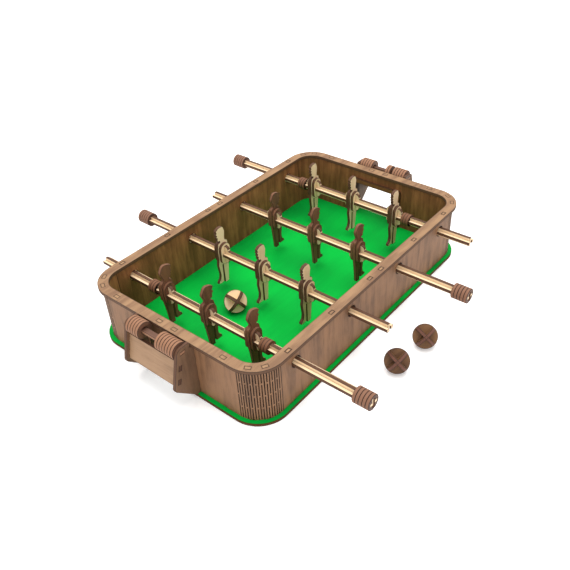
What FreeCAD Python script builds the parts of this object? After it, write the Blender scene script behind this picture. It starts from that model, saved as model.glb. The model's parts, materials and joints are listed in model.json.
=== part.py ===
"""Tabletop football game cut from thin plywood: base, walls, rim, rods with players, counters, balls.

Millimetres. Origin at the middle of the underside of the base, +Z up, +X along the long side,
+Y along the rods. "near" is -Y, "far" is +Y, "left" is -X, "right" is +X.
"""

import math
import os

import FreeCAD
import Part

# ---- driving sizes -----------------------------------------------------------------------------
SHEET = 3.0               # thickness of every plywood piece
WALL_LENGTH = 314.0       # outside of the walls along X
WALL_WIDTH = 198.0        # outside of the walls along Y
WALL_HEIGHT = 53.0        # walls between base and rim
CORNER_RADIUS = 25.0      # outside radius of the bent corners
RIM_OVERHANG = 3.0        # rim beyond the outside of the walls
RIM_WIDTH = 10.0          # width of the rim ring
BASE_FLANGE = 4.0         # base beyond the outside of the walls
TAB_LENGTH = 5.0          # locking tabs of the walls
TAB_FROM_MIDDLE = 8.7     # first tab from the middle of a wall
TAB_FROM_BEND = 11.5      # last tab from the start of a corner
SLIT_WIDTH = 0.6          # saw-thin cuts that let a corner bend
SLIT_COLUMNS = 17         # columns of cuts in one corner
SLIT_END = 1.2            # uncut strip at the wall's edge
SLIT_BRIDGE = 1.8         # uncut strip between two cuts

GOAL_WIDTH = 50.0
GOAL_HEIGHT = 40.0
GOAL_POST = 7.0           # width of the goal frame's posts
GOAL_LINTEL = 4.5         # height of the goal frame above the opening

ROD_COUNT = 4
ROD_BELOW_WALL_TOP = 13.2  # rod axis below the top of the walls
PLAIN_OUT = 38.0          # plain rod end beyond the wall, rod in the middle
GRIP_OUT = 53.5           # grip beyond the wall, rod in the middle
GRIP_DISCS = 5
GRIP_RIM = 2.5            # grip disc beyond the rod
PRONG = 1.2               # side rails beyond the ends of the spine
COLLAR_DISCS = 3
COLLAR_RIM = 1.7          # stop collar beyond the rod
BUSH_RIM = 3.5            # bush beyond the rod
BUSH_THICKNESS = 1.4

PLAYER_PITCH = 51.3       # from player to player along a rod
PLAYER_TOE = 11.5         # toe in front of the rod axis
HEEL = 2.4                # heel behind the rod axis
CHEST_RIM = 3.5           # chest in front of the rod
BACK_RIM = 1.7            # back behind the rod
PAD_FRONT_RIM = 2.1       # oval pad in front of the rod
PAD_BACK_RIM = 0.9
PAD_OVER_LOBE = 2.7       # oval pad above the raised part of the spine
PAD_UNDER_LOBE = 1.5
LOBE_REACH = 8.7          # raised part of the spine, each way from a player's middle
LOBE_HEIGHT = 9.3         # raised part of the spine, above and below the axis

BRACKET_MARGIN = 3.0      # goal mouth to the inner face of a bracket
BRACKET_ABOVE_WALL = 4.5
SCORE_ROD_REACH = 11.3    # wall to the axis of the counter rod
SCORE_ROD_DROP = 0.5      # axis of the counter rod below the top of the walls
SCORE_ROD_WIDTH = 5.0
SCORE_DISC_RADIUS = 7.8
END_COUNTERS = 5          # counters pushed against a bracket
MIDDLE_COUNTERS = 2
PANEL_INSET = 3.0         # front panel behind the front edge of the brackets
PANEL_START = 7.5         # along that edge from its top
PANEL_LENGTH = 24.0

BALL_RADIUS = 11.0

# ---- fits --------------------------------------------------------------------------------------
GLUE_GAP = 0.05           # tabs in slots and plates on the rod
SEAM = 0.1                # between two wall pieces
RUNNING_GAP = 0.08        # bush in its pocket, on the radius
BUSH_END_GAP = 0.05       # bush in its pocket, on each face
SLIDING_GAP = 0.15        # rod in its bush
ROD_HOLE_GAP = 0.45       # corners of the rod to the round holes in the walls
COUNTER_GAP = 0.15        # counter on its rod, and beside a bracket
COUNTER_SPACE = 2.85      # between the end counters and the middle ones
COLLAR_GAP = 1.5          # lobe of the last player to the stop collar
SWEEP_GAP = 0.5           # feet of the end rods to the goal frame
GROUND_GAP = 5.8          # feet to the field
RIM_GAP = 0.4             # bracket round the rim

# ---- derived sizes -----------------------------------------------------------------------------
HALF_LENGTH = WALL_LENGTH / 2
HALF_WIDTH = WALL_WIDTH / 2
WALL_TOP = SHEET + WALL_HEIGHT
WALL_MIDDLE = SHEET + WALL_HEIGHT / 2
CORNER_X = HALF_LENGTH - CORNER_RADIUS
CORNER_Y = HALF_WIDTH - CORNER_RADIUS
LINER_INNER_Y = HALF_WIDTH - 2 * SHEET
GOAL_FRAME_X = HALF_LENGTH - 3 * SHEET
HALF_SHEET = SHEET / 2
ROD_SIZE = 3 * SHEET
HALF_ROD = ROD_SIZE / 2
ROD_HEIGHT = WALL_TOP - ROD_BELOW_WALL_TOP
ROD_PLAIN_REACH = HALF_WIDTH + PLAIN_OUT
GRIP_END = HALF_WIDTH + GRIP_OUT + GRIP_DISCS * SHEET
GRIP_RADIUS = HALF_ROD + GRIP_RIM
COLLAR_START = PLAYER_PITCH + LOBE_REACH + COLLAR_GAP
COLLAR_RADIUS = HALF_ROD + COLLAR_RIM
BUSH_RADIUS = HALF_ROD + BUSH_RIM
ROD_HOLE_RADIUS = math.hypot(HALF_ROD, HALF_SHEET) + ROD_HOLE_GAP
PLAYER_LEG = ROD_HEIGHT - SHEET - GROUND_GAP
PLAYER_SWEEP = math.hypot(PLAYER_LEG, HEEL)
PLAYER_Y = [-PLAYER_PITCH, 0.0, PLAYER_PITCH]
END_ROD_X = GOAL_FRAME_X - SWEEP_GAP - PLAYER_SWEEP
ROD_PITCH = 2 * END_ROD_X / (ROD_COUNT - 1)
ROD_X = [-END_ROD_X + index * ROD_PITCH for index in range(ROD_COUNT)]
BRACKET_SPREAD = GOAL_WIDTH / 2 + BRACKET_MARGIN
BRACKET_TOP = WALL_TOP + BRACKET_ABOVE_WALL
BRACKET_TABS = [SHEET + WALL_HEIGHT * 0.2, SHEET + WALL_HEIGHT * 0.7]
SCORE_ROD_HEIGHT = WALL_TOP - SCORE_ROD_DROP
EDGE_TOP = FreeCAD.Vector(17.4, WALL_TOP, 0)
EDGE_SLOPE = FreeCAD.Vector(0.234, -0.972, 0)
UNDERSIDE_START = FreeCAD.Vector(4.5, SHEET, 0)
UNDERSIDE_SLOPE = FreeCAD.Vector(0.72, 0.694, 0)
PANEL_TABS = [PANEL_START + 5.5, PANEL_START + PANEL_LENGTH - 5.5]
LAST_SIDE_TAB = CORNER_X - TAB_FROM_BEND
MIDDLE_SIDE_TAB = (TAB_FROM_MIDDLE + LAST_SIDE_TAB) / 2
SIDE_TABS = [way * x for way in (-1, 1) for x in (TAB_FROM_MIDDLE, MIDDLE_SIDE_TAB, LAST_SIDE_TAB)]
LAST_END_TAB = CORNER_Y - TAB_FROM_BEND
END_TABS = [-LAST_END_TAB, -TAB_FROM_MIDDLE, TAB_FROM_MIDDLE, LAST_END_TAB]
CORNER_TABS = [28.0, 60.0]


# ---- small tools -------------------------------------------------------------------------------
def spot(plane, across, up, depth):
    """Point at (across, up) in a plane and depth along the plane's own axis."""
    if plane == "xy":
        return FreeCAD.Vector(across, up, depth)
    if plane == "xz":
        return FreeCAD.Vector(across, depth, up)
    return FreeCAD.Vector(depth, across, up)


def normal(plane):
    """Unit vector along the plane's own axis."""
    return spot(plane, 0, 0, 1)


def cut_sheet(plane, corners, start, thickness):
    """Sheet with a closed outline; each corner is (across, up, rounding radius)."""
    edges = []
    count = len(corners)
    first = None
    last = None
    for index in range(count):
        before = FreeCAD.Vector(corners[index - 1][0], corners[index - 1][1], 0)
        here = FreeCAD.Vector(corners[index][0], corners[index][1], 0)
        after = FreeCAD.Vector(corners[(index + 1) % count][0], corners[(index + 1) % count][1], 0)
        radius = corners[index][2]
        back = (before - here).normalize()
        onward = (after - here).normalize()
        bend = back.getAngle(onward)
        if radius == 0 or abs(math.pi - bend) < 0.01:
            enter = here
            leave = here
            middle = None
        else:
            run = radius / math.tan(bend / 2)
            enter = here + back * run
            leave = here + onward * run
            centre = here + (back + onward).normalize() * (radius / math.sin(bend / 2))
            middle = centre + (here - centre).normalize() * radius
        enter_spot = spot(plane, enter.x, enter.y, start)
        leave_spot = spot(plane, leave.x, leave.y, start)
        if last is None:
            first = enter_spot
        elif (enter_spot - last).Length > 1e-6:
            edges.append(Part.LineSegment(last, enter_spot).toShape())
        if middle is not None:
            middle_spot = spot(plane, middle.x, middle.y, start)
            edges.append(Part.Arc(enter_spot, middle_spot, leave_spot).toShape())
        last = leave_spot
    if (first - last).Length > 1e-6:
        edges.append(Part.LineSegment(last, first).toShape())
    face = Part.Face(Part.Wire(edges))
    return face.extrude(normal(plane) * thickness)


def disc(plane, across, up, radius, start, thickness):
    """Round disc standing on its plane's axis."""
    return Part.makeCylinder(radius, thickness, spot(plane, across, up, start), normal(plane))


def box(low_x, high_x, low_y, high_y, low_z, high_z):
    """Upright box between two values on each axis."""
    corner = FreeCAD.Vector(low_x, low_y, low_z)
    return Part.makeBox(high_x - low_x, high_y - low_y, high_z - low_z, corner)


def rounded_block(half_x, half_y, radius, low_z, high_z):
    """Upright block with round vertical corners."""
    corners = [
        (-half_x, -half_y, radius),
        (half_x, -half_y, radius),
        (half_x, half_y, radius),
        (-half_x, half_y, radius),
    ]
    return cut_sheet("xy", corners, low_z, high_z - low_z)


def turned(shape):
    """The same shape turned half a turn about the vertical middle."""
    copy = shape.copy()
    copy.rotate(FreeCAD.Vector(0, 0, 0), FreeCAD.Vector(0, 0, 1), 180)
    return copy


def moved(shape, x, y, z):
    """The same shape somewhere else."""
    copy = shape.copy()
    copy.translate(FreeCAD.Vector(x, y, z))
    return copy


def save(node, shapes):
    """One file per named piece, or per group of like pieces."""
    whole = shapes[0] if len(shapes) == 1 else Part.makeCompound(shapes)
    whole.exportStep("parts/" + node + ".step")


# ---- tabs that lock the walls into base and rim --------------------------------------------------
def tab_boxes(side, low_z, high_z, gap):
    """Boxes at the tab places of one wall: "end", "side" or "corner", for the right or far wall.

    The foot of an end wall has no tabs where the goal mouth is.
    """
    half_tab = TAB_LENGTH / 2 + gap
    inner = SHEET + gap
    found = []
    if side == "end":
        at_foot = low_z < SHEET
        for y in END_TABS:
            if at_foot and abs(y) < GOAL_WIDTH / 2:
                continue
            low_y = y - half_tab
            high_y = y + half_tab
            found.append(box(HALF_LENGTH - inner, HALF_LENGTH + gap, low_y, high_y, low_z, high_z))
    if side == "side":
        for x in SIDE_TABS:
            low_x = x - half_tab
            high_x = x + half_tab
            found.append(box(low_x, high_x, HALF_WIDTH - inner, HALF_WIDTH + gap, low_z, high_z))
    if side == "corner":
        for degrees in CORNER_TABS:
            for way in (-1, 1):
                block = box(CORNER_RADIUS - inner, CORNER_RADIUS + gap, -half_tab, half_tab, low_z, high_z)
                block.rotate(FreeCAD.Vector(0, 0, 0), FreeCAD.Vector(0, 0, 1), way * degrees)
                found.append(moved(block, CORNER_X, way * CORNER_Y, 0))
    return found


def all_tab_slots(low_z, high_z):
    """Slots for every tab of the four walls, through base or rim."""
    slots = []
    for side in ("end", "side", "corner"):
        for block in tab_boxes(side, low_z, high_z, GLUE_GAP):
            slots.append(block)
            slots.append(turned(block))
    return slots


# ---- base and rim --------------------------------------------------------------------------------
def make_base():
    """Flat playing field with a narrow ledge around the walls."""
    half_x = HALF_LENGTH + BASE_FLANGE
    half_y = HALF_WIDTH + BASE_FLANGE
    plate = rounded_block(half_x, half_y, CORNER_RADIUS + BASE_FLANGE, 0, SHEET)
    return plate.cut(all_tab_slots(-1, SHEET + 1))


def make_rim():
    """Flat ring on top of the walls."""
    half_x = HALF_LENGTH + RIM_OVERHANG
    half_y = HALF_WIDTH + RIM_OVERHANG
    radius = CORNER_RADIUS + RIM_OVERHANG
    low = WALL_TOP
    high = WALL_TOP + SHEET
    outside = rounded_block(half_x, half_y, radius, low, high)
    inside = rounded_block(half_x - RIM_WIDTH, half_y - RIM_WIDTH, radius - RIM_WIDTH, low - 1, high + 1)
    return outside.cut([inside] + all_tab_slots(low - 1, high + 1))


# ---- walls ---------------------------------------------------------------------------------------
def wall_ring(depth):
    """Closed ring of one sheet, its outside lying `depth` inside the outside of the walls."""
    half_x = HALF_LENGTH - depth
    half_y = HALF_WIDTH - depth
    radius = CORNER_RADIUS - depth
    outside = rounded_block(half_x, half_y, radius, SHEET, WALL_TOP)
    inside = rounded_block(half_x - SHEET, half_y - SHEET, radius - SHEET, SHEET - 1, WALL_TOP + 1)
    return outside.cut(inside)


def end_piece(ring):
    """Right-hand end of a ring with both bent corners, with the goal mouth."""
    whole = ring.common(box(CORNER_X, HALF_LENGTH + 1, -HALF_WIDTH - 1, HALF_WIDTH + 1, 0, WALL_TOP + 1))
    mouth = box(CORNER_X, HALF_LENGTH + 1, -GOAL_WIDTH / 2, GOAL_WIDTH / 2, 0, SHEET + GOAL_HEIGHT)
    return whole.cut(mouth)


def hinge_slits():
    """Columns of thin upright cuts that let both right-hand corners bend."""
    half_bridge = SLIT_BRIDGE / 2
    quarter = WALL_HEIGHT / 4
    long_cuts = [
        (SHEET + SLIT_END, WALL_MIDDLE - half_bridge),
        (WALL_MIDDLE + half_bridge, WALL_TOP - SLIT_END),
    ]
    offset_cuts = [
        (SHEET - 1, SHEET + quarter - half_bridge),
        (SHEET + quarter + half_bridge, WALL_TOP - quarter - half_bridge),
        (WALL_TOP - quarter + half_bridge, WALL_TOP + 1),
    ]
    cuts = []
    for way in (-1, 1):
        for column in range(1, SLIT_COLUMNS + 1):
            degrees = 90.0 * column / (SLIT_COLUMNS + 1)
            spans = long_cuts if column % 2 else offset_cuts
            for low_z, high_z in spans:
                cut = box(
                    CORNER_RADIUS - SHEET - 1,
                    CORNER_RADIUS + 1,
                    -SLIT_WIDTH / 2,
                    SLIT_WIDTH / 2,
                    low_z,
                    high_z,
                )
                cut.rotate(FreeCAD.Vector(0, 0, 0), FreeCAD.Vector(0, 0, 1), way * degrees)
                cuts.append(moved(cut, CORNER_X, way * CORNER_Y, 0))
    return cuts


def make_end_skin():
    """Right-hand outer wall, bent round both corners, with tabs and slots for the brackets."""
    skin = end_piece(wall_ring(0))
    slots = []
    for way in (-1, 1):
        inner = BRACKET_SPREAD - GLUE_GAP
        outer = BRACKET_SPREAD + SHEET + GLUE_GAP
        low_y = min(way * inner, way * outer)
        high_y = max(way * inner, way * outer)
        for middle_z in BRACKET_TABS:
            half = TAB_LENGTH / 2 + GLUE_GAP
            slots.append(box(CORNER_X + 1, HALF_LENGTH + 1, low_y, high_y, middle_z - half, middle_z + half))
    skin = skin.cut(hinge_slits() + slots)
    tabs = []
    for side in ("end", "corner"):
        tabs += tab_boxes(side, WALL_TOP, WALL_TOP + SHEET, 0)
        tabs += tab_boxes(side, 0, SHEET, 0)
    return skin.fuse(tabs).removeSplitter()


def rod_holes(radius, low_y, high_y):
    """Round cuts on the rod axes through a far wall."""
    return [disc("xz", x, ROD_HEIGHT, radius, low_y, high_y - low_y) for x in ROD_X]


def make_side_skin():
    """Far outer wall: a flat strip with four round holes and tabs."""
    half = CORNER_X - SEAM
    strip = box(-half, half, HALF_WIDTH - SHEET, HALF_WIDTH, SHEET, WALL_TOP)
    strip = strip.cut(rod_holes(ROD_HOLE_RADIUS, HALF_WIDTH - SHEET - 1, HALF_WIDTH + 1))
    tabs = tab_boxes("side", WALL_TOP, WALL_TOP + SHEET, 0) + tab_boxes("side", 0, SHEET, 0)
    return strip.fuse(tabs).removeSplitter()


def make_side_liner():
    """Far inner wall with pockets for the rod bushes on its outside."""
    half = CORNER_X - SEAM
    outer = HALF_WIDTH - SHEET
    strip = box(-half, half, LINER_INNER_Y, outer, SHEET, WALL_TOP)
    holes = rod_holes(ROD_HOLE_RADIUS, LINER_INNER_Y - 1, outer + 1)
    floor = outer - BUSH_THICKNESS - 2 * BUSH_END_GAP
    pockets = rod_holes(BUSH_RADIUS + RUNNING_GAP, floor, outer + 1)
    return strip.cut(holes + pockets)


def make_goal_frame():
    """Right-hand arch standing proud of the inner wall around the goal mouth."""
    half_goal = GOAL_WIDTH / 2
    half_frame = half_goal + GOAL_POST
    sill = SHEET
    head = SHEET + GOAL_HEIGHT
    corners = [
        (-half_frame, sill, 0),
        (-half_frame, head + GOAL_LINTEL, 2),
        (half_frame, head + GOAL_LINTEL, 2),
        (half_frame, sill, 0),
        (half_goal, sill, 0),
        (half_goal, head, 1),
        (-half_goal, head, 1),
        (-half_goal, sill, 0),
    ]
    return cut_sheet("yz", corners, GOAL_FRAME_X, SHEET)


# ---- handles with counters at both ends ------------------------------------------------------------
def along_edge(run, inset):
    """(reach from the wall, height) at a run down the bracket's front edge and an inset behind it."""
    back = FreeCAD.Vector(EDGE_SLOPE.y, -EDGE_SLOPE.x, 0)
    place = EDGE_TOP + EDGE_SLOPE * run + back * inset
    return place.x, place.y


def panel_tab(run, low_y, gap):
    """Short tab of the front panel through a bracket."""
    half = 2.5 + gap
    corners = []
    for step, inset in ((-half, -gap), (half, -gap), (half, SHEET + gap), (-half, SHEET + gap)):
        reach, height = along_edge(run + step, PANEL_INSET + inset)
        corners.append((HALF_LENGTH + reach, height, 0))
    return cut_sheet("xz", corners, low_y, SHEET)


def nose_run():
    """How far down the bracket's front edge its sloping underside meets it."""
    gap = UNDERSIDE_START - EDGE_TOP
    across = EDGE_SLOPE.x * UNDERSIDE_SLOPE.y - EDGE_SLOPE.y * UNDERSIDE_SLOPE.x
    return (gap.x * UNDERSIDE_SLOPE.y - gap.y * UNDERSIDE_SLOPE.x) / across


def make_bracket(low_y):
    """Right-hand side plate that carries the counter rod."""
    front_x, front_z = along_edge((WALL_TOP - BRACKET_TOP) / -EDGE_SLOPE.y, 0)
    nose_x, nose_z = along_edge(nose_run(), 0)
    notch_z = WALL_TOP - RIM_GAP
    profile = [
        (0, SHEET, 0),
        (UNDERSIDE_START.x, UNDERSIDE_START.y, 0),
        (nose_x, nose_z, 4),
        (front_x, BRACKET_TOP, 6),
        (RIM_OVERHANG + RIM_GAP, BRACKET_TOP, 1),
        (RIM_OVERHANG + RIM_GAP, notch_z, 0),
        (0, notch_z, 0),
    ]
    corners = [(HALF_LENGTH + reach, height, radius) for reach, height, radius in profile]
    plate = cut_sheet("xz", corners, low_y, SHEET)
    tabs = []
    for middle_z in BRACKET_TABS:
        low_z = middle_z - TAB_LENGTH / 2
        high_z = middle_z + TAB_LENGTH / 2
        tabs.append(box(HALF_LENGTH - SHEET, HALF_LENGTH, low_y, low_y + SHEET, low_z, high_z))
    plate = plate.fuse(tabs).removeSplitter()
    axle = HALF_LENGTH + SCORE_ROD_REACH
    half_strip = SCORE_ROD_WIDTH / 2 + GLUE_GAP
    low_slot = SCORE_ROD_HEIGHT - HALF_SHEET - GLUE_GAP
    high_slot = SCORE_ROD_HEIGHT + HALF_SHEET + GLUE_GAP
    slots = [box(axle - half_strip, axle + half_strip, low_y - 1, low_y + SHEET + 1, low_slot, high_slot)]
    for run in PANEL_TABS:
        slots.append(panel_tab(run, low_y, GLUE_GAP))
    return plate.cut(slots)


def make_panel():
    """Right-hand sloping front panel between the two brackets."""
    corners = []
    run_end = PANEL_START + PANEL_LENGTH
    back = PANEL_INSET + SHEET
    outline = [(PANEL_START, PANEL_INSET), (run_end, PANEL_INSET), (run_end, back), (PANEL_START, back)]
    for run, inset in outline:
        reach, height = along_edge(run, inset)
        corners.append((HALF_LENGTH + reach, height, 0))
    plate = cut_sheet("xz", corners, -BRACKET_SPREAD, 2 * BRACKET_SPREAD)
    tabs = []
    for run in PANEL_TABS:
        tabs.append(panel_tab(run, BRACKET_SPREAD, 0))
        tabs.append(panel_tab(run, -BRACKET_SPREAD - SHEET, 0))
    return plate.fuse(tabs).removeSplitter()


def make_score_rod():
    """Right-hand flat strip through both brackets."""
    axle = HALF_LENGTH + SCORE_ROD_REACH
    half_strip = SCORE_ROD_WIDTH / 2
    reach = BRACKET_SPREAD + SHEET
    low_z = SCORE_ROD_HEIGHT - HALF_SHEET
    high_z = SCORE_ROD_HEIGHT + HALF_SHEET
    return box(axle - half_strip, axle + half_strip, -reach, reach, low_z, high_z)


def make_counters(low_y, count):
    """Row of right-hand counter discs, from low_y upwards."""
    axle = HALF_LENGTH + SCORE_ROD_REACH
    hole_radius = math.hypot(SCORE_ROD_WIDTH / 2, HALF_SHEET) + COUNTER_GAP
    found = []
    for index in range(count):
        start = low_y + index * SHEET
        plate = disc("xz", axle, SCORE_ROD_HEIGHT, SCORE_DISC_RADIUS, start, SHEET)
        hole = disc("xz", axle, SCORE_ROD_HEIGHT, hole_radius, start - 1, SHEET + 2)
        found.append(plate.cut(hole))
    return found


# ---- rods ------------------------------------------------------------------------------------------
def rod_cross(half_size, half_arm, low_y, high_y):
    """Cross-shaped bar along Y: an upright and a level arm."""
    upright = box(-half_arm, half_arm, low_y, high_y, -half_size, half_size)
    level = box(-half_size, half_size, low_y, high_y, -half_arm, half_arm)
    return [upright, level]


def make_spine():
    """Upright strip of a rod, with a rounded lobe under every player."""
    low_y = -GRIP_END + PRONG
    high_y = ROD_PLAIN_REACH - PRONG
    strip = box(-HALF_SHEET, HALF_SHEET, low_y, high_y, -HALF_ROD, HALF_ROD)
    lobes = []
    for y in PLAYER_Y:
        corners = [
            (y - LOBE_REACH, -LOBE_HEIGHT, 4),
            (y + LOBE_REACH, -LOBE_HEIGHT, 4),
            (y + LOBE_REACH, LOBE_HEIGHT, 4),
            (y - LOBE_REACH, LOBE_HEIGHT, 4),
        ]
        lobes.append(cut_sheet("yz", corners, -HALF_SHEET, SHEET))
    return strip.fuse(lobes).removeSplitter()


def make_rails():
    """Two side strips that make the rod a cross."""
    rails = []
    for way in (-1, 1):
        low_x = min(way * HALF_SHEET, way * HALF_ROD)
        rails.append(box(low_x, low_x + SHEET, -GRIP_END, ROD_PLAIN_REACH, -HALF_SHEET, HALF_SHEET))
    return rails


def ringed_discs(radius, low_y, count):
    """Row of discs glued on the rod, each with a cross-shaped hole."""
    discs = []
    for index in range(count):
        start = low_y + index * SHEET
        hole = rod_cross(HALF_ROD + GLUE_GAP, HALF_SHEET + GLUE_GAP, start - 1, start + SHEET + 1)
        discs.append(disc("xz", 0, 0, radius, start, SHEET).cut(hole))
    return discs


def make_bush():
    """Thin round plate that turns in a wall pocket while the rod slides through it."""
    start = HALF_WIDTH - SHEET - BUSH_THICKNESS - BUSH_END_GAP
    hole = rod_cross(HALF_ROD + SLIDING_GAP, HALF_SHEET + SLIDING_GAP, start - 1, start + BUSH_THICKNESS + 1)
    return disc("xz", 0, 0, BUSH_RADIUS, start, BUSH_THICKNESS).cut(hole)


# ---- players ---------------------------------------------------------------------------------------
# (forward, up from the rod axis, rounding radius), from chin to nape
TUFTED_HEAD = [
    (3.6, 15.6, 0.5),
    (6.6, 16.4, 0.7),
    (5.7, 18.0, 0.4),
    (6.9, 18.9, 0.4),
    (6.0, 19.9, 0.3),
    (8.2, 21.2, 0.6),
    (6.4, 23.4, 0.5),
    (8.4, 26.4, 0.6),
    (5.6, 28.4, 1.5),
    (-1.0, 30.6, 4.0),
    (-5.4, 23.5, 4.0),
    (-2.6, 16.8, 1.5),
]
CROPPED_HEAD = [
    (3.8, 15.4, 0.5),
    (6.4, 16.0, 0.7),
    (6.8, 18.4, 0.5),
    (5.9, 19.2, 0.3),
    (7.9, 20.8, 0.5),
    (6.6, 22.2, 0.3),
    (8.0, 24.0, 0.5),
    (6.8, 25.2, 0.3),
    (7.6, 27.2, 0.6),
    (4.4, 29.4, 1.5),
    (-1.6, 29.6, 3.0),
    (-3.4, 23.5, 3.0),
    (-2.4, 16.8, 1.5),
]


def player_slot(low_y):
    """Cross-shaped hole that fits over the rod and its lobe."""
    upright_half = HALF_SHEET + GLUE_GAP
    tall = LOBE_HEIGHT + GLUE_GAP
    wide = HALF_ROD + GLUE_GAP
    high_y = low_y + SHEET
    upright = box(-upright_half, upright_half, low_y - 1, high_y + 1, -tall, tall)
    level = box(-wide, wide, low_y - 1, high_y + 1, -upright_half, upright_half)
    return [upright, level]


def make_player(head):
    """Figure facing +X: a cut-out person between two oval pads, as three sheets on the rod."""
    toe_z = -PLAYER_LEG + 2.2
    chest = HALF_ROD + CHEST_RIM
    spine_back = -HALF_ROD - BACK_RIM
    crotch_z = -LOBE_HEIGHT - 2.7
    front = [
        (PLAYER_TOE, toe_z, 0.5),
        (PLAYER_TOE - 0.6, toe_z + 2.2, 0.6),
        (8.2, toe_z + 4.4, 1.2),
        (7.2, toe_z + 9.3, 3),
        (chest + 0.9, crotch_z + 1.0, 4),
        (chest - 0.6, -4.0, 5),
        (chest, 6.0, 4),
        (6.6, 13.0, 2.2),
        (3.4, 13.8, 0.5),
    ]
    back = [
        (-2.6, 14.2, 1),
        (-5.6, 12.6, 2.2),
        (spine_back, 2.0, 5),
        (spine_back + 0.8, -8.0, 5),
        (-4.2, -16.0, 5),
        (-3.0, 7.0 - PLAYER_LEG, 5),
        (-HEEL, -PLAYER_LEG, 0.6),
        (HEEL, -PLAYER_LEG, 0.6),
        (2.6, crotch_z, 0.4),
        (3.9, crotch_z, 0.4),
        (4.2, toe_z, 0.5),
    ]
    pad_back = -HALF_ROD - PAD_BACK_RIM
    pad_front = HALF_ROD + PAD_FRONT_RIM
    pad_low = -LOBE_HEIGHT - PAD_UNDER_LOBE
    pad_high = LOBE_HEIGHT + PAD_OVER_LOBE
    pad_round = (pad_front - pad_back) * 0.49
    figure = cut_sheet("xz", front + head + back, -HALF_SHEET, SHEET).cut(player_slot(-HALF_SHEET))
    sheets = [figure]
    for low_y in (-HALF_SHEET - SHEET, HALF_SHEET):
        oval = [
            (pad_back, pad_low, pad_round),
            (pad_front, pad_low, pad_round),
            (pad_front, pad_high, pad_round),
            (pad_back, pad_high, pad_round),
        ]
        sheets.append(cut_sheet("xz", oval, low_y, SHEET).cut(player_slot(low_y)))
    return sheets


def save_rod(number, x, rest_shift, grip_far, head, collared):
    """All pieces of one rod; a rod with its grip at the far side is turned round."""
    def settle(shape, y):
        whole = moved(shape, 0, y, 0)
        if grip_far:
            whole = turned(whole)
        return moved(whole, x, rest_shift, ROD_HEIGHT)

    name = "rod_" + str(number)
    save(name + "_spine", [settle(make_spine(), 0)])
    save(name + "_rails", [settle(rail, 0) for rail in make_rails()])
    save(name + "_grip", [settle(plate, 0) for plate in ringed_discs(GRIP_RADIUS, -GRIP_END, GRIP_DISCS)])
    order = ("far", "middle", "near") if grip_far else ("near", "middle", "far")
    for place, y in zip(order, PLAYER_Y):
        save(name + "_player_" + place, [settle(plate, y) for plate in make_player(head)])
    if collared:
        near = ringed_discs(COLLAR_RADIUS, -COLLAR_START - COLLAR_DISCS * SHEET, COLLAR_DISCS)
        far = ringed_discs(COLLAR_RADIUS, COLLAR_START, COLLAR_DISCS)
        save(name + "_collars", [settle(plate, 0) for plate in near + far])
    bush = moved(make_bush(), x, 0, ROD_HEIGHT)
    other = moved(turned(make_bush()), x, 0, ROD_HEIGHT)
    save(name + "_bushes", [other, bush])


# ---- balls -----------------------------------------------------------------------------------------
def make_ball(x, y, floor, facing):
    """Four cut pieces that make three crossed discs, resting on three of their edges.

    `facing` is the compass angle, in degrees, that the first disc looks towards.
    """
    reach = BALL_RADIUS + 1
    lap = BALL_RADIUS / 2
    first = disc("yz", 0, 0, BALL_RADIUS, -HALF_SHEET, SHEET)
    first = first.cut(box(-reach, reach, -HALF_SHEET, HALF_SHEET, -reach, 0))
    second = disc("xz", 0, 0, BALL_RADIUS, -HALF_SHEET, SHEET)
    second = second.cut(
        [
            box(-HALF_SHEET, HALF_SHEET, -reach, reach, 0, reach),
            box(lap, reach, -reach, reach, -HALF_SHEET, HALF_SHEET),
            box(-reach, -lap, -reach, reach, -HALF_SHEET, HALF_SHEET),
        ]
    )
    third = disc("xy", 0, 0, BALL_RADIUS, -HALF_SHEET, SHEET)
    halves = [
        third.cut([box(-reach, HALF_SHEET, -reach, reach, -reach, reach),
                   box(0, lap, -HALF_SHEET, HALF_SHEET, -reach, reach)]),
        third.cut([box(-HALF_SHEET, reach, -reach, reach, -reach, reach),
                   box(-lap, 0, -HALF_SHEET, HALF_SHEET, -reach, reach)]),
    ]
    tilt = math.degrees(math.atan(1 / math.sqrt(2)))
    lowest = BALL_RADIUS * math.sqrt(2.0 / 3.0) + HALF_SHEET / math.sqrt(3.0)
    pieces = []
    for piece in [first, second] + halves:
        piece.rotate(FreeCAD.Vector(0, 0, 0), FreeCAD.Vector(1, 0, 0), 45)
        piece.rotate(FreeCAD.Vector(0, 0, 0), FreeCAD.Vector(0, 1, 0), -tilt)
        piece.rotate(FreeCAD.Vector(0, 0, 0), FreeCAD.Vector(0, 0, 1), facing)
        piece.translate(FreeCAD.Vector(x, y, floor + lowest))
        pieces.append(piece)
    return pieces


# ---- the whole game --------------------------------------------------------------------------------
os.makedirs("parts", exist_ok=True)

save("base_plate", [make_base()])
save("top_rim", [make_rim()])

end_skin = make_end_skin()
end_liner = end_piece(wall_ring(SHEET))
side_skin = make_side_skin()
side_liner = make_side_liner()
goal_frame = make_goal_frame()
panel = make_panel()
score_rod = make_score_rod()
for name, right in (
    ("end_skin", end_skin),
    ("end_liner", end_liner),
    ("goal_frame", goal_frame),
    ("front_panel", panel),
    ("score_rod", score_rod),
):
    save(name + "_right", [right])
    save(name + "_left", [turned(right)])
save("side_skin_far", [side_skin])
save("side_skin_near", [turned(side_skin)])
save("side_liner_far", [side_liner])
save("side_liner_near", [turned(side_liner)])

far_bracket = make_bracket(BRACKET_SPREAD)
near_bracket = make_bracket(-BRACKET_SPREAD - SHEET)
save("bracket_right_far", [far_bracket])
save("bracket_right_near", [near_bracket])
save("bracket_left_near", [turned(far_bracket)])
save("bracket_left_far", [turned(near_bracket)])

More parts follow.
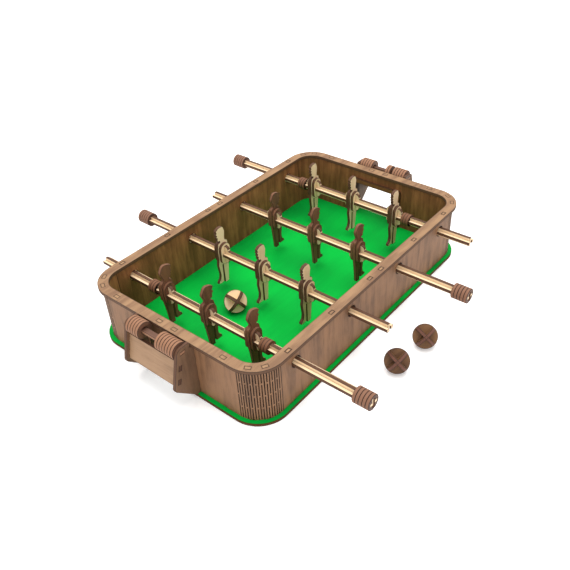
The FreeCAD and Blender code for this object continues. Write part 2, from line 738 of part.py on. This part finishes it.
low_end = -BRACKET_SPREAD + COUNTER_GAP
high_end = BRACKET_SPREAD - COUNTER_GAP
row = END_COUNTERS * SHEET
long_count = END_COUNTERS + MIDDLE_COUNTERS
save("counters_right_near", make_counters(low_end, END_COUNTERS))
save("counters_right_middle", make_counters(low_end + row + COUNTER_SPACE, MIDDLE_COUNTERS))
save("counters_right_far", make_counters(high_end - row, END_COUNTERS))
save("counters_left_far", [turned(plate) for plate in make_counters(low_end, END_COUNTERS)])
long_row = make_counters(high_end - long_count * SHEET, long_count)
save("counters_left_near", [turned(plate) for plate in long_row])

save_rod(1, ROD_X[0], -3.0, False, TUFTED_HEAD, True)
save_rod(2, ROD_X[1], 0.0, True, CROPPED_HEAD, False)
save_rod(3, ROD_X[2], -2.0, False, TUFTED_HEAD, False)
save_rod(4, ROD_X[3], 4.0, True, CROPPED_HEAD, True)

save("ball_field", make_ball(-60.8, 17.5, SHEET, 238))
save("ball_spare_left", make_ball(-36.5, -144.9, 0, 213))
save("ball_spare_right", make_ball(4.4, -148.3, 0, 214))
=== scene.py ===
# %% [markdown]
# # A tabletop football game cut from thin plywood
# Every piece of this game is a 3 mm sheet, cut by a laser, stained or left bare, and pushed together with
# tabs. The pieces could be drawn anew, but the measured ones already fit each other and move as they
# should. So the lesson takes those, takes their sharp edges off, works out which faces are sheet and which
# are burnt cuts, and paints them with plywood, stain and one coat of green.

import hashlib
import json
import math

import bmesh
import bpy
from mathutils import Matrix, Vector


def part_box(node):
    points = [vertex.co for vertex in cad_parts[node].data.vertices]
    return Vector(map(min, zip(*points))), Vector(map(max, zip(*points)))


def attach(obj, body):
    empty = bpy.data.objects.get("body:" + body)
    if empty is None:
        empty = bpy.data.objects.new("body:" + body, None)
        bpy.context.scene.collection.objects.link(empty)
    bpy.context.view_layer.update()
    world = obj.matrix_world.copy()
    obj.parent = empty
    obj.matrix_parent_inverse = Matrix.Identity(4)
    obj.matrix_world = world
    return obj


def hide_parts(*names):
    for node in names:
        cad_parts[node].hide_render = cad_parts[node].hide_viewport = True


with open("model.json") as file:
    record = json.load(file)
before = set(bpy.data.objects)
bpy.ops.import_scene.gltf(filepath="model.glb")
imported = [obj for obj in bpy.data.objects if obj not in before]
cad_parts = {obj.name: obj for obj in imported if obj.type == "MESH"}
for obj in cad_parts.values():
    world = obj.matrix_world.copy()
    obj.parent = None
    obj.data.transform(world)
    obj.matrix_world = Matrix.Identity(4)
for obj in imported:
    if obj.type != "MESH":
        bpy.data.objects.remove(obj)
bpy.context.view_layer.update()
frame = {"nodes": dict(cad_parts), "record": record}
nodes = frame["nodes"]
body_of_node = {}
for body, members in frame["record"]["behaviour"]["bodies"].items():
    for member in members:
        body_of_node[member] = body
slot_of_node = {part["node"]: part["material_slot"] for part in frame["record"]["subparts"]}

MM = 0.001
SHEET = 3 * MM

# %% [markdown]
# ## A short way to write shader maths
# Plywood is many patterns added together. They could be wired by hand in the shader editor, but a formula
# is easier to read and to change. A `Wire` is one output of a shader node, and sums, differences and
# products of wires build the maths nodes.

# %% Wires
class Wire:
    """One output socket that can be added, subtracted and multiplied."""

    def __init__(self, paint, socket):
        self.paint = paint
        self.socket = socket

    def maths(self, operation, first, second=0.0):
        return self.paint.node("ShaderNodeMath", {"operation": operation}, {0: first, 1: second})

    def __add__(self, other):
        return self.maths("ADD", self, other)

    def __radd__(self, other):
        return self.maths("ADD", other, self)

    def __sub__(self, other):
        return self.maths("SUBTRACT", self, other)

    def __rsub__(self, other):
        return self.maths("SUBTRACT", other, self)

    def __mul__(self, other):
        return self.maths("MULTIPLY", self, other)

    def __rmul__(self, other):
        return self.maths("MULTIPLY", other, self)

    def size(self):
        return self.maths("ABSOLUTE", self)

    def ramp(self, low, high):
        """Smooth step from 0 at low to 1 at high."""
        settings = {"interpolation_type": "SMOOTHSTEP"}
        sockets = {"Value": self, "From Min": low, "From Max": high, "To Min": 0.0, "To Max": 1.0}
        return self.paint.node("ShaderNodeMapRange", settings, sockets)


operators = [name for name in vars(Wire) if callable(getattr(Wire, name)) and name != "__init__"]
print("a wire can:", operators)

# %% [markdown]
# ## One paint, one surface
# A `Paint` is a material with a single Principled surface, which is enough for wood and for matt paint.
# Any node that is not plain maths comes from `Paint.node`. `finish` joins the colour, the roughness and a
# shallow bump to the surface.

# %% Paint
class Paint:
    """A new material with one Principled surface."""

    def __init__(self, name):
        self.material = bpy.data.materials.new(name)
        self.material.use_nodes = True
        self.tree = self.material.node_tree
        self.tree.nodes.clear()
        self.surface = self.tree.nodes.new("ShaderNodeBsdfPrincipled")
        output = self.tree.nodes.new("ShaderNodeOutputMaterial")
        self.tree.links.new(self.surface.outputs[0], output.inputs["Surface"])

    def join(self, value, socket):
        if isinstance(value, Wire):
            self.tree.links.new(value.socket, socket)
        else:
            socket.default_value = value

    def node(self, kind, settings=None, sockets=None, output=0):
        made = self.tree.nodes.new(kind)
        for key, value in (settings or {}).items():
            setattr(made, key, value)
        for key, value in (sockets or {}).items():
            self.join(value, made.inputs[key])
        return Wire(self, made.outputs[output])

    def attribute(self, name, output):
        return self.node("ShaderNodeAttribute", {"attribute_name": name}, output=output)

    def stretched(self, place, grain):
        """The same place counted in grains along, across and through the sheet."""
        return self.node("ShaderNodeVectorMath", {"operation": "MULTIPLY"}, {0: place, 1: grain})

    def noise(self, place, scale=1.0, detail=3.0, roughness=0.5, distortion=0.0):
        sockets = {
            "Vector": place,
            "Scale": scale,
            "Detail": detail,
            "Roughness": roughness,
            "Distortion": distortion,
        }
        return self.node("ShaderNodeTexNoise", {}, sockets)

    def part(self, vector, index):
        """One of the three numbers of a vector."""
        return self.node("ShaderNodeSeparateXYZ", {}, {0: vector}, index)

    def mix(self, share, first, second):
        """Colour that goes from first to second."""
        settings = {"data_type": "RGBA", "blend_type": "MIX"}
        return self.node("ShaderNodeMix", settings, {0: share, 6: first, 7: second}, output=2)

    def finish(self, colour, roughness, height, depth):
        self.join(colour, self.surface.inputs["Base Color"])
        self.join(roughness, self.surface.inputs["Roughness"])
        bump = self.node("ShaderNodeBump", {}, {"Height": height, "Strength": 0.5, "Distance": depth})
        self.join(bump, self.surface.inputs["Normal"])
        return self.material


def shade(hex_code):
    """Colour on screen, as linear light."""
    values = [int(hex_code[index:index + 2], 16) / 255 for index in (0, 2, 4)]
    linear = [v / 12.92 if v <= 0.04045 else ((v + 0.055) / 1.055) ** 2.4 for v in values]
    return (linear[0], linear[1], linear[2], 1.0)


print("mid grey as light:", [round(value, 3) for value in shade("808080")])

# %% [markdown]
# ## The face of a sheet
# Rotary-cut birch has long soft streaks, fine fibres, short dark pores and wide pale and dark clouds. One
# wood picture could be wrapped round all pieces, but it would repeat and smear on the cuts. Noise that is
# stretched along the grain never repeats. Each size below is in grains per millimetre, along the grain,
# across it and through the sheet. `place` is in millimetres, and `tone` is one number for each sheet.

# %% Veneer
STREAK = (0.016, 0.16, 0.2)
FIBRE = (0.09, 2.6, 2.0)
PORE = (0.35, 5.5, 4.0)
BLOTCH = (0.045, 0.06, 0.1)


def veneer(paint, place, tone, streaks):
    """(share of the deep colour, fibres, pores) of a sheet face."""
    streak = paint.noise(paint.stretched(place, STREAK), detail=4.0, distortion=0.5)
    fibre = paint.noise(paint.stretched(place, FIBRE), detail=4.0, roughness=0.65)
    pore = paint.noise(paint.stretched(place, PORE), detail=2.0).ramp(0.64, 0.72)
    blotch = paint.noise(paint.stretched(place, BLOTCH), detail=3.0)
    share = streak.ramp(0.3, 0.7) * 0.5 * streaks + fibre.ramp(0.3, 0.72) * 0.32 * streaks
    share = share + pore * 0.22 + (blotch - 0.5) * 0.9 + (tone - 0.5) * 0.55
    return share.ramp(0.0, 1.0), fibre, pore


print("one streak is about", round(1 / STREAK[0]), "mm long and", round(1 / STREAK[1]), "mm wide")

# %% [markdown]
# ## The green coat
# Only the top of the base plate is painted, and its edge stays bare and burnt. Two materials on one plate
# would do, but the direction a face looks in already tells the top from the rest, so the coat is mixed in
# where the surface looks up. Brush marks and faint clouds keep it from looking like plastic.

# %% Coat
BRUSH = (0.02, 0.25, 0.3)
CLOUD = (0.012, 0.02, 0.1)


def coated(paint, place, pore, bare, coat):
    """Bare colour on the sides, with a coat of paint on top."""
    brushed = paint.noise(paint.stretched(place, BRUSH), detail=5.0, roughness=0.7)
    cloud = paint.noise(paint.stretched(place, CLOUD), detail=2.0)
    uneven = (brushed * 0.25 + cloud * 1.1 + pore * 0.1).ramp(0.4, 0.95)
    painted = paint.mix(uneven, shade(coat[0]), shade(coat[1]))
    upward = paint.part(paint.node("ShaderNodeTexCoord", output="Normal"), 2)
    return paint.mix(upward.ramp(0.5, 0.8), bare, painted)


print("brush marks are about", round(1 / BRUSH[1]), "mm wide")

# %% [markdown]
# ## Burnt cuts
# The laser leaves a brown cut with three plies, two dark glue lines and black corners, and it scorches the
# sheet a little way in. `burn` is 1 on a cut and fades to 0 just inside a sheet face. A dark line could be
# modelled round every piece, but painting by `burn` follows each outline by itself.

# %% Plywood
CHAR = (0.35, 0.35, 1.2)
MIDDLE = 1.5
GLUE_LINE = 0.5
BUMP = 0.18 * MM


def plywood(name, pale, deep, cut_pale, cut_deep, soot, streaks=1.0, coat=None, shine=0.4):
    """Plywood with a sheet colour, a cut colour, and soot next to the cuts."""
    paint = Paint(name)
    paint.surface.inputs["Specular IOR Level"].default_value = shine
    place = paint.attribute("place", "Vector")
    burn = paint.attribute("burn", "Fac")
    tone = paint.attribute("tone", "Fac")

    share, fibre, pore = veneer(paint, place, tone, streaks)
    sheet_colour = paint.mix(share, shade(pale), shade(deep))
    if coat is not None:
        sheet_colour = coated(paint, place, pore, sheet_colour, coat)

    from_middle = (paint.part(place, 2) - MIDDLE).size()
    glue = 1.0 - (from_middle - GLUE_LINE).size().ramp(0.03, 0.16)
    corner = from_middle.ramp(0.85, 1.35)
    char = paint.noise(paint.stretched(place, CHAR), detail=3.0)
    cut_share = glue * 0.3 + corner * 0.85 + (char - 0.5) * 0.5 + (tone - 0.5) * 0.2
    cut_colour = paint.mix(cut_share.ramp(0.0, 1.0), shade(cut_pale), shade(cut_deep))

    scorch = (burn + (char - 0.5) * 0.35 * burn).ramp(0.12, 0.95) * soot
    colour = paint.mix(scorch, sheet_colour, shade(cut_deep))
    colour = paint.mix(burn.ramp(0.97, 0.999), colour, cut_colour)
    roughness = 0.52 + fibre * 0.18 + burn * 0.12
    height = fibre * 0.6 - pore * 0.8 - glue * burn * 0.8
    return paint.finish(colour, roughness, height, BUMP)


print("glue lines lie at", MIDDLE - GLUE_LINE, "and", MIDDLE + GLUE_LINE, "mm through the sheet")

# %% [markdown]
# ## The finishes of this game
# The pieces are stained in several browns: light on the rim and the front panels, reddish on the players,
# discs and grips, dark inside the walls. One team and the rods are bare birch. Each finish has a pale and a
# deep colour for the sheet, and a pale and a deep colour for the cuts.

# %% Finishes
paints = {
    "painted_base": plywood(
        "green_base", "866247", "583d29", "5a3c24", "2c190c", soot=0.75, coat=("04b23c", "039434"), shine=0.05
    ),
    "rim_ply": plywood("rim_plywood", "987552", "704f35", "593b24", "2a170b", soot=0.95),
    "outer_ply": plywood("outer_plywood", "855f40", "513622", "4e2f1c", "22130a", soot=0.85),
    "inner_ply": plywood("inner_plywood", "9e6a42", "6a4428", "4a2f1a", "22130a", soot=0.6, shine=0.15),
    "panel_ply": plywood("panel_plywood", "9c7a5b", "6e5037", "4e2f1c", "22130a", soot=0.8),
    # The brackets are painted a darker brown than the outer walls.
    "bracket_ply": plywood("bracket_plywood", "6e5039", "4a3322", "5a3a25", "26150b", soot=0.8),
    "stained_ply": plywood("stained_plywood", "6f4831", "47291a", "744c32", "2a160e", soot=0.75),
    "counter_ply": plywood("counter_plywood", "724d38", "4e3021", "94694d", "2a160e", soot=0.8),
    "grip_ply": plywood("grip_plywood", "634131", "43281c", "805943", "2a160e", soot=0.8),
    "ball_ply": plywood("ball_plywood", "75512f", "573920", "603a2a", "2a160e", soot=0.8),
    "natural_ply": plywood("bare_plywood", "e9cca6", "c9a679", "573620", "26150a", soot=0.95, streaks=0.6),
}
print("finishes:", sorted(paints))

# %% [markdown]
# ## From measured solid to separate sheets
# A grip, a row of counters or a player is a stack of sheets that touch. In one mesh the touching faces
# would weld and the joints between the sheets would be lost. So each face goes to the sheet its centre
# lies in, counted in whole thicknesses along the stack, and nudged inward so that two faces that touch
# part cleanly.

# %% Part the sheets
DISCS = ("counters", "grip", "collars")
STACKED = DISCS + ("player",)
NUDGE = 0.01 * MM


def tone_of(words):
    """A steady number from 0 to 1 for a name."""
    return int(hashlib.sha256(words.encode()).hexdigest()[:6], 16) / 0xFFFFFF


def sheets_of(node):
    """One welded bmesh for each sheet of a node."""
    mesh = nodes[node].data
    stacked = any(word in node for word in STACKED)
    low = min(vertex.co.y for vertex in mesh.vertices)
    groups = {}
    for polygon in mesh.polygons:
        layer = 0
        if stacked:
            layer = math.floor((polygon.center.y - low - polygon.normal.y * NUDGE) / SHEET + 0.001)
        groups.setdefault(layer, []).append(polygon)
    found = []
    for layer in sorted(groups):
        work = bmesh.new()
        for polygon in groups[layer]:
            corners = [work.verts.new(mesh.vertices[index].co) for index in polygon.vertices]
            work.faces.new(corners)
        bmesh.ops.remove_doubles(work, verts=work.verts, dist=1e-6)
        found.append(work)
    return found


for node in ("rod_1_player_near", "rod_1_grip", "top_rim"):
    parted = sheets_of(node)
    print("sheets of", node + ":", len(parted))
    for work in parted:
        work.free()

# %% [markdown]
# ## Soft arrises
# No cut edge is perfectly sharp, and a thin bright or dark line along each one is what makes small pieces
# readable. A bevel modifier would cut across the many small triangles of the flat faces, so the flat faces
# are joined first and only edges sharper than 35 degrees are beveled. Discs look rounder than the rest.

# %% Soften
ARRIS = 0.12 * MM
TAB_ARRIS = 0.25 * MM
DISC_ARRIS = 0.45 * MM
FLAT = math.radians(0.5)
SHARP = math.radians(35)
SHADE_SHARP = math.radians(28)


def arris_of(node):
    """How much comes off the sharp edges of a node."""
    if any(word in node for word in DISCS):
        return DISC_ARRIS
    if "skin" in node or "rim" in node:
        return TAB_ARRIS
    return ARRIS


def soften(work, arris):
    """Join flat faces into one, then take the sharp edges off."""
    bmesh.ops.dissolve_limit(work, angle_limit=FLAT, verts=work.verts, edges=work.edges)
    sharp = [edge for edge in work.edges if edge.is_manifold and edge.calc_face_angle(0) > SHARP]
    bmesh.ops.bevel(
        work, geom=sharp, offset=arris, offset_type="OFFSET", segments=1, profile=0.5,
        affect="EDGES", clamp_overlap=True,
    )


print("arrises in mm:", [round(arris_of(node) / MM, 2) for node in ("rod_1_grip", "top_rim", "rod_1_spine")])

# %% [markdown]
# ## The way round the walls
# The walls are flat sheets bent round the corners, so their grain has to bend with them. Unwrapping would
# do it, but the walls follow a rounded rectangle. From its length and width, which the measured model
# gives, and its corner radius, the outward direction, the depth and the length round the wall are exact.

# %% Walls
WALLS = ("end_skin", "end_liner", "side_skin", "side_liner")
HALF_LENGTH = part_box("end_skin_right")[1].x
HALF_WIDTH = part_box("side_skin_far")[1].y
CORNER_RADIUS = 25 * MM
TAB_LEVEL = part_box("top_rim")[0].z + 1 * MM
CENTRE_X = HALF_LENGTH - CORNER_RADIUS
CENTRE_Y = HALF_WIDTH - CORNER_RADIUS


def wall_place(point):
    """(outward direction, distance inside the outer face, length round the wall) at a point of a wall."""
    over_x = abs(point.x) - CENTRE_X
    over_y = abs(point.y) - CENTRE_Y
    sign_x = math.copysign(1, point.x)
    sign_y = math.copysign(1, point.y)
    if over_x > 0 and over_y > 0:
        reach = math.hypot(over_x, over_y)
        turn = math.atan2(over_y, over_x)
        outward = Vector((sign_x * over_x / reach, sign_y * over_y / reach, 0))
        return outward, CORNER_RADIUS - reach, sign_y * (CENTRE_Y + CORNER_RADIUS * turn)
    if over_x > 0:
        return Vector((sign_x, 0, 0)), HALF_LENGTH - abs(point.x), point.y
    bend = CENTRE_Y + CORNER_RADIUS * math.pi / 2
    return Vector((0, sign_y, 0)), HALF_WIDTH - abs(point.y), sign_y * (bend + CENTRE_X - abs(point.x))


print("walls in mm:", round(2 * HALF_LENGTH / MM, 1), "x", round(2 * HALF_WIDTH / MM, 1),
      "corner", round(CORNER_RADIUS / MM, 1), "tabs above", round(TAB_LEVEL / MM, 1))

# %% [markdown]
# ## The directions of a flat piece
# A flat piece has one main direction, the one most of its area looks in, and its grain runs along its
# longest side. Both could be typed in for each piece, but working them out keeps a piece right when its
# size changes.

# %% Flat pieces
def main_direction(work):
    """The direction most of the area looks in, for a flat piece."""
    area = {}
    for face in work.faces:
        key = tuple(round(abs(value), 2) for value in face.normal)
        total, direction = area.get(key, (0.0, face.normal.copy()))
        area[key] = (total + face.calc_area(), direction)
    return max(area.values(), key=lambda pair: pair[0])[1]


def grain_direction(work, outward):
    """Along the longest side of a flat piece."""
    best = None
    for hint in (Vector((1, 0, 0)), Vector((0, 1, 0)), Vector((0, 0, 1))):
        along = hint - outward * hint.dot(outward)
        if along.length < 0.3:
            continue
        along.normalize()
        spread = [vertex.co.dot(along) for vertex in work.verts]
        length = max(spread) - min(spread)
        if best is None or length > best[0] + 1e-5:
            best = (length, along)
    return best[1]


rim = sheets_of("top_rim")[0]
print("the rim looks", tuple(round(value) for value in main_direction(rim)),
      "and its grain runs", tuple(round(value) for value in grain_direction(rim, main_direction(rim))))
rim.free()

# %% [markdown]
# ## Sheet face or cut
# A face that looks along the sheet's main direction is veneer, and any other is a cut. Two kinds of face
# are cuts but were stained or left clean with the sheet: the ends of the tabs that show in the rim, and
# the ends of the rods.

# %% Tell faces apart
ALONG = 0.95


def is_sheet(face, node, outward):
    """True where a face shows veneer."""
    if node.startswith(WALLS):
        centre = face.calc_center_median()
        if face.normal.z > ALONG and centre.z > TAB_LEVEL:
            return True
        return abs(face.normal.dot(wall_place(centre)[0])) > ALONG
    if node.endswith(("spine", "rails")) and abs(face.normal.y) > ALONG:
        return True
    return abs(face.normal.dot(outward)) > ALONG


spine = sheets_of("rod_1_spine")[0]
outward = main_direction(spine)
print("sheet faces of a spine:", sum(is_sheet(face, "rod_1_spine", outward) for face in spine.faces),
      "of", len(spine.faces))
spine.free()

# %% [markdown]
# ## Place, burn and tone
# The paints need three things at every corner of every face. They are stored on the corners and not on
# the points, because a point on an outline belongs to a clean face and to a burnt one. Sheet faces get a
# narrow ring just inside their outline, which carries the scorch; the pieces with tabs have a wider one.

# %% Write the attributes
HALO = 0.3 * MM
WIDE_HALO = 0.62 * MM
EDGE_BURN = 0.93
SHEET_STEP = 40
TONE_STEP = 90


def mark(work, node, tone, index):
    """Fill the three attributes of one sheet."""
    place = work.loops.layers.float_vector.new("place")
    burn = work.loops.layers.float.new("burn")
    shades = work.loops.layers.float.new("tone")
    outward = Vector((0, 0, 1)) if "rails" in node else main_direction(work)
    along = grain_direction(work, outward)
    across = outward.cross(along)
    low = min(vertex.co.dot(outward) for vertex in work.verts)

    def millimetres(point):
        """Along the grain, across it, and through the sheet."""
        if node.startswith(WALLS):
            direction, inside, length = wall_place(point)
            if node.startswith("side"):
                length = point.x
            if "liner" in node:
                inside -= SHEET
            return point.z / MM, length / MM, inside / MM
        run = point.dot(along) / MM + index * SHEET_STEP
        return run, point.dot(across) / MM + tone * TONE_STEP, (point.dot(outward) - low) / MM

    sheet_faces = [face for face in work.faces if is_sheet(face, node, outward)]
    halo = WIDE_HALO if "skin" in node or "rim" in node else HALO
    ring = set(bmesh.ops.inset_region(
        work, faces=sheet_faces, thickness=halo, use_even_offset=True, use_boundary=True
    )["faces"])
    inner = set(face for face in sheet_faces if face not in ring)
    inner_verts = set(vertex for face in inner for vertex in face.verts)
    for face in work.faces:
        for loop in face.loops:
            loop[place] = millimetres(loop.vert.co)
            loop[shades] = tone
            if face in inner:
                loop[burn] = 0.0
            elif face in ring:
                loop[burn] = 0.0 if loop.vert in inner_verts else EDGE_BURN
            else:
                loop[burn] = 1.0


trial = sheets_of("front_panel_left")[0]
before = len(trial.faces)
mark(trial, "front_panel_left", 0.5, 0)
print("faces of a front panel:", before, "and with its scorched ring:", len(trial.faces))
trial.free()

# %% [markdown]
# ## One finished piece for each measured piece
# The softened sheets of a node become one object that rides on the node's body, so it slides and turns
# with the rod or stands with the table. The ends of the wall tabs lie in the rim and have its stain, so
# the outer walls carry a second material.

# %% Put the pieces in place
def stand_in(node, name, mesh):
    """A visible object that takes the place of a node, or of a part of it."""
    mesh.polygons.foreach_set("use_smooth", [True] * len(mesh.polygons))
    mesh.set_sharp_from_angle(angle=SHADE_SHARP)
    made = bpy.data.objects.new(name, mesh)
    bpy.context.scene.collection.objects.link(made)
    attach(made, body_of_node[node])
    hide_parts(node)
    return made


def dress(node, paint_name):
    """A softened copy of a node with its paint."""
    whole = bpy.data.meshes.new(node + "_soft")
    joined = bmesh.new()
    joined.loops.layers.float_vector.new("place")
    joined.loops.layers.float.new("burn")
    joined.loops.layers.float.new("tone")
    for index, work in enumerate(sheets_of(node)):
        soften(work, arris_of(node))
        mark(work, node, tone_of(node + str(index)), index)
        piece = bpy.data.meshes.new("piece")
        work.to_mesh(piece)
        joined.from_mesh(piece)
        bpy.data.meshes.remove(piece)
        work.free()
    joined.to_mesh(whole)
    joined.free()
    whole.materials.append(paints[paint_name])
    if "skin" in node:
        whole.materials.append(paints["rim_ply"])
        for polygon in whole.polygons:
            if polygon.center.z > TAB_LEVEL and polygon.normal.z > ALONG:
                polygon.material_index = 1
    return stand_in(node, node + "_finished", whole)


print("bodies to ride on:", sorted(set(body_of_node.values())))

# %% [markdown]
# ## Choosing the finish
# Most nodes are painted by their material slot. Panels, counters and grips share a slot with other pieces but
# have a browner or redder stain of their own, and the brackets are painted a darker brown than the walls.

# %% Dress every piece
OWN_FINISH = {
    "front_panel": "panel_ply",
    "bracket": "bracket_ply",
    "counters": "counter_ply",
    "score_rod": "counter_ply",
    "grip": "grip_ply",
}
finished = {}
for node in sorted(nodes):
    if node.startswith("ball"):
        continue
    paint_name = slot_of_node[node]
    for word, stain in OWN_FINISH.items():
        if word in node:
            paint_name = stain
    finished[node] = dress(node, paint_name)
print("dressed:", len(finished), "faces:", sum(len(made.data.polygons) for made in finished.values()))

# %% [markdown]
# ## The balls
# A ball is three crossed discs. The measured ball is one node with its discs cut through each other, so
# its faces are hard to sort into sheets. Three whole discs, turned from a profile, look the same from
# outside and have a clean grain.

# %% One disc
BALL_RADIUS = 11 * MM
RIM_BAND = 0.5 * MM
DISC_STEPS = 72


def round_sheet(radius, thickness):
    """A disc standing across X with a small arris on both rims."""
    work = bmesh.new()
    half = thickness / 2
    profile = [
        (-half, 0.0),
        (-half, radius - 3 * ARRIS),
        (-half, radius - ARRIS),
        (-half + ARRIS, radius),
        (-RIM_BAND, radius),
        (RIM_BAND, radius),
        (half - ARRIS, radius),
        (half, radius - ARRIS),
        (half, radius - 3 * ARRIS),
        (half, 0.0),
    ]
    rings = []
    for depth, reach in profile:
        ring = []
        for step in range(DISC_STEPS):
            turn = 2 * math.pi * step / DISC_STEPS
            ring.append(work.verts.new((depth, reach * math.cos(turn), reach * math.sin(turn))))
            if reach == 0.0:
                break
        rings.append(ring)
    for first, second in zip(rings, rings[1:]):
        for step in range(DISC_STEPS):
            after = (step + 1) % DISC_STEPS
            corners = [first[step % len(first)], first[after % len(first)]]
            corners += [second[after % len(second)], second[step % len(second)]]
            work.faces.new(list(dict.fromkeys(corners)))
    bmesh.ops.recalc_face_normals(work, faces=work.faces)
    return work


trial = round_sheet(BALL_RADIUS, SHEET)
print("faces of one disc:", len(trial.faces))
trial.free()

# %% [markdown]
# ## A ball at rest
# Thrown on a table, such a ball comes to rest on three rims, so each disc leans by the same angle. The
# height of its middle follows from that angle and from the half thickness of a disc.

# %% Crossed discs
LEAN = math.atan(1 / math.sqrt(2))
MIDDLE_HEIGHT = BALL_RADIUS * math.sqrt(2 / 3) + SHEET / 2 / math.sqrt(3)


def make_ball(node, facing, paint_name):
    """Three discs in the node's place, the first one looking towards a compass angle in degrees."""
    low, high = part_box(node)
    middle = Vector(((low.x + high.x) / 2, (low.y + high.y) / 2, low.z + MIDDLE_HEIGHT))
    stand = Matrix.Rotation(math.radians(facing), 4, "Z")
    stand = stand @ Matrix.Rotation(-LEAN, 4, "Y") @ Matrix.Rotation(math.radians(45), 4, "X")
    turns = [
        Matrix.Identity(4),
        Matrix.Rotation(math.radians(90), 4, "Z"),
        Matrix.Rotation(math.radians(-90), 4, "Y"),
    ]
    for index, turn in enumerate(turns):
        work = round_sheet(BALL_RADIUS, SHEET)
        mark(work, node, tone_of(node + str(index)), index)
        bmesh.ops.transform(work, matrix=Matrix.Translation(middle) @ stand @ turn, verts=work.verts)
        mesh = bpy.data.meshes.new(node + "_disc")
        work.to_mesh(mesh)
        work.free()
        mesh.materials.append(paints[paint_name])
        stand_in(node, node + "_disc_" + str(index + 1), mesh)
    print(node, "stands at", [round(value / MM, 1) for value in middle], "mm")


make_ball("ball_field", 238, "natural_ply")
make_ball("ball_spare_left", 213, "ball_ply")
make_ball("ball_spare_right", 214, "ball_ply")

# %% [markdown]
# ## Floor
# The game stands on a plain pale surface. A bent studio sweep is not needed, because the floor fills the
# whole picture. A little light of its own keeps it white next to the soft shadows.

# %% Pale floor
FLOOR_REACH = 6
FLOOR_DROP = 0.2 * MM
floor_mesh = bpy.data.meshes.new("floor")
floor_corners = [(x * FLOOR_REACH, y * FLOOR_REACH, 0) for x, y in ((-1, -1), (1, -1), (1, 1), (-1, 1))]
floor_mesh.from_pydata(floor_corners, [], [(0, 1, 2, 3)])
floor = bpy.data.objects.new("floor", floor_mesh)
floor.location.z = -FLOOR_DROP
bpy.context.scene.collection.objects.link(floor)
floor_paint = Paint("pale_floor")
floor_paint.surface.inputs["Emission Color"].default_value = (1.0, 1.0, 1.0, 1.0)
floor_paint.surface.inputs["Emission Strength"].default_value = 0.2
speck = floor_paint.noise(floor_paint.node("ShaderNodeTexCoord", output="Object"), scale=2.0, detail=2.0)
floor_colour = floor_paint.mix(speck, (0.94, 0.94, 0.93, 1.0), (0.96, 0.96, 0.955, 1.0))
floor_mesh.materials.append(floor_paint.finish(floor_colour, 0.8, speck, 0.1 * MM))
print("floor:", 2 * FLOOR_REACH, "m wide")

# %% [markdown]
# ## Light
# The shadows under the game are short and soft. A small lamp would draw hard ones, so a wide square light
# hangs above, a weak one fills the near side, and a pale surround lights the rest.

# %% Soft lights
def soft_light(name, place, size, power):
    """A square soft light that looks at the middle of the game."""
    data = bpy.data.lights.new(name, "AREA")
    data.shape = "SQUARE"
    data.size = size
    data.energy = power
    made = bpy.data.objects.new(name, data)
    made.location = place
    made.rotation_euler = (-Vector(place)).to_track_quat("-Z", "Y").to_euler()
    bpy.context.scene.collection.objects.link(made)
    return made


soft_light("overhead", (0.2, 0.15, 1.6), 1.6, 34)
soft_light("side_fill", (-1.3, -1.1, 0.9), 1.2, 6)
world = bpy.data.worlds.new("surround")
world.use_nodes = True
world.node_tree.nodes["Background"].inputs["Color"].default_value = (1.0, 1.0, 1.0, 1.0)
world.node_tree.nodes["Background"].inputs["Strength"].default_value = 0.85
bpy.context.scene.world = world
bpy.context.scene.view_settings.view_transform = "Standard"
bpy.context.scene.view_settings.look = "None"
print("lights:", len(bpy.data.lights), "and a surround")

# %% [markdown]
# ## Camera
# The camera looks down along the length of the table from a near corner, leaning a few degrees. It is
# close to so small a thing, so the far end looks clearly smaller than the near one.

# %% Camera
camera_data = bpy.data.cameras.new("camera")
camera_data.lens = 41.79
camera_data.sensor_width = 36.0
camera_data.clip_start = 0.01
camera = bpy.data.objects.new("camera", camera_data)
place = Vector((-0.3966, -0.3401, 0.4048))
target = Vector((-0.0012, 0.0064, 0.0))
lean = Matrix.Rotation(math.radians(-3.3), 4, "Z")
look = (target - place).to_track_quat("-Z", "Y").to_matrix().to_4x4()
camera.matrix_world = Matrix.Translation(place) @ look @ lean
bpy.context.scene.collection.objects.link(camera)
bpy.context.scene.camera = camera
print("camera is", round((target - place).length, 3), "m from the game")

# %% [markdown]
# ## Finish
